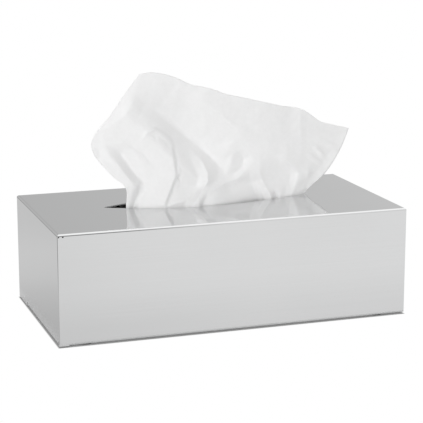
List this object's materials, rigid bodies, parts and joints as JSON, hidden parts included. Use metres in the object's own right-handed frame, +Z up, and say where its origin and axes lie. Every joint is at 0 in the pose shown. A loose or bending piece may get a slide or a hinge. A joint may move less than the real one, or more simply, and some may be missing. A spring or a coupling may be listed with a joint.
{
  "type": "tissue box holder",
  "caption": "Polished stainless steel tissue box holder with a lens-shaped slot in its top, a slide-out bottom plate and a tissue drawn up through the slot.",
  "frame": {"origin": "on the surface that the four pads stand on, under the middle of the cover", "axes": "+X along the cover to the end where the bottom plate slides out, +Y to the back, +Z up"},
  "size_m": [0.26, 0.135, 0.1777],
  "materials": {
    "polished_stainless": "bright polished stainless steel, 1 mm sheet",
    "stainless_plate": "plain mill-finish stainless steel, 1 mm sheet",
    "pad_rubber": "matt black rubber, stuck on",
    "tissue_paper": "soft white two-ply facial tissue"
  },
  "bodies": {
    "holder": {"cover": "polished_stainless", "foot_front_left": "pad_rubber", "foot_front_right": "pad_rubber", "foot_back_left": "pad_rubber", "foot_back_right": "pad_rubber", "tissue_stack": "tissue_paper", "raised_tissue": "tissue_paper"},
    "plate": {"base_plate": "stainless_plate"}
  },
  "joints": [
    {"name": "plate_slide", "type": "slide", "parent": "holder", "child": "plate", "axis": [1, 0, 0], "range_m": [0, 0.23]}
  ]
}
